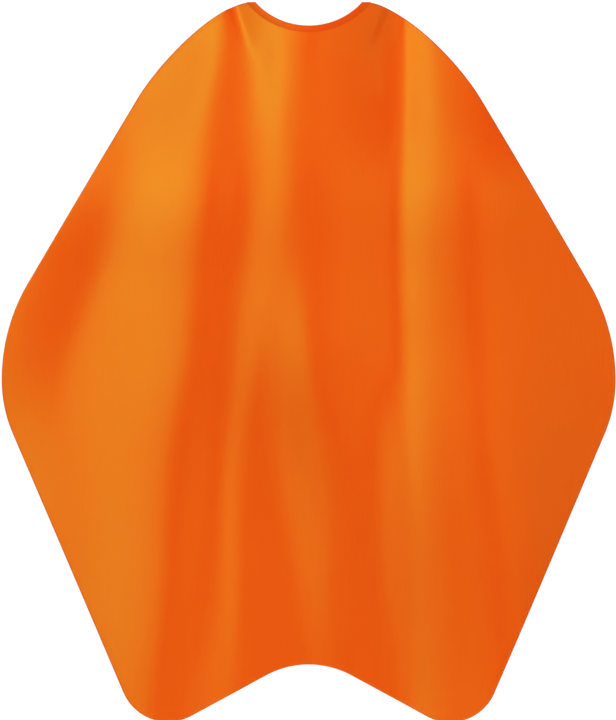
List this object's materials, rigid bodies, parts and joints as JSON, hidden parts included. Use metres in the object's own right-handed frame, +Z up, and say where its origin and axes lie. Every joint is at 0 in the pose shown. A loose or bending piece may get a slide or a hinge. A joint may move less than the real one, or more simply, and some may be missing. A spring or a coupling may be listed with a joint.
{
  "type": "barber cape",
  "caption": "Hair-cutting cape of satin with a turned hem, a bound neckline and two adjustable straps that snap together behind the neck.",
  "frame": {"origin": "centre of the neck opening, level with the neckband's highest points", "axes": "+Z up, +Y from the front of the neck to the back, +X to the wearer's left; the cape's front faces -Y"},
  "size_m": [1.197, 0.1548, 1.4005],
  "materials": {
    "cape_satin": "smooth polyester satin with a soft sheen",
    "hem_satin": "the same satin, turned over twice and stitched",
    "band_satin": "satin binding over a stiff interlining",
    "interlining": "matte non-woven stiffener",
    "thread": "polyester sewing thread",
    "snap_metal": "nickel-plated brass",
    "spring_metal": "bright spring wire"
  },
  "bodies": {
    "cape": {"cape_body": "cape_satin", "hem": "hem_satin", "hem_thread": "thread", "neckband": "band_satin", "neckband_interlining": "interlining", "neckband_thread": "thread", "stud_strap_root": "band_satin", "socket_strap_root": "band_satin", "strap_tacks": "thread"},
    "stud_strap": {"stud_strap": "band_satin", "stud_strap_interlining": "interlining", "stud_strap_thread": "thread", "snap_posts": "snap_metal", "snap_studs": "snap_metal"},
    "socket_strap": {"socket_strap": "band_satin", "socket_strap_interlining": "interlining", "socket_strap_thread": "thread", "snap_sockets": "snap_metal", "snap_springs": "spring_metal", "snap_caps": "snap_metal"}
  },
  "joints": [
    {"name": "socket_strap_swing", "type": "hinge", "parent": "cape", "child": "socket_strap", "pos_m": [-0.09369, 0.04652, -0.056], "axis": [0, 0, 1], "range_deg": [0, 120]},
    {"name": "stud_strap_swing", "type": "hinge", "parent": "cape", "child": "stud_strap", "pos_m": [0.095, 0.04162, -0.056], "axis": [0, 0, 1], "range_deg": [0, 30]}
  ]
}
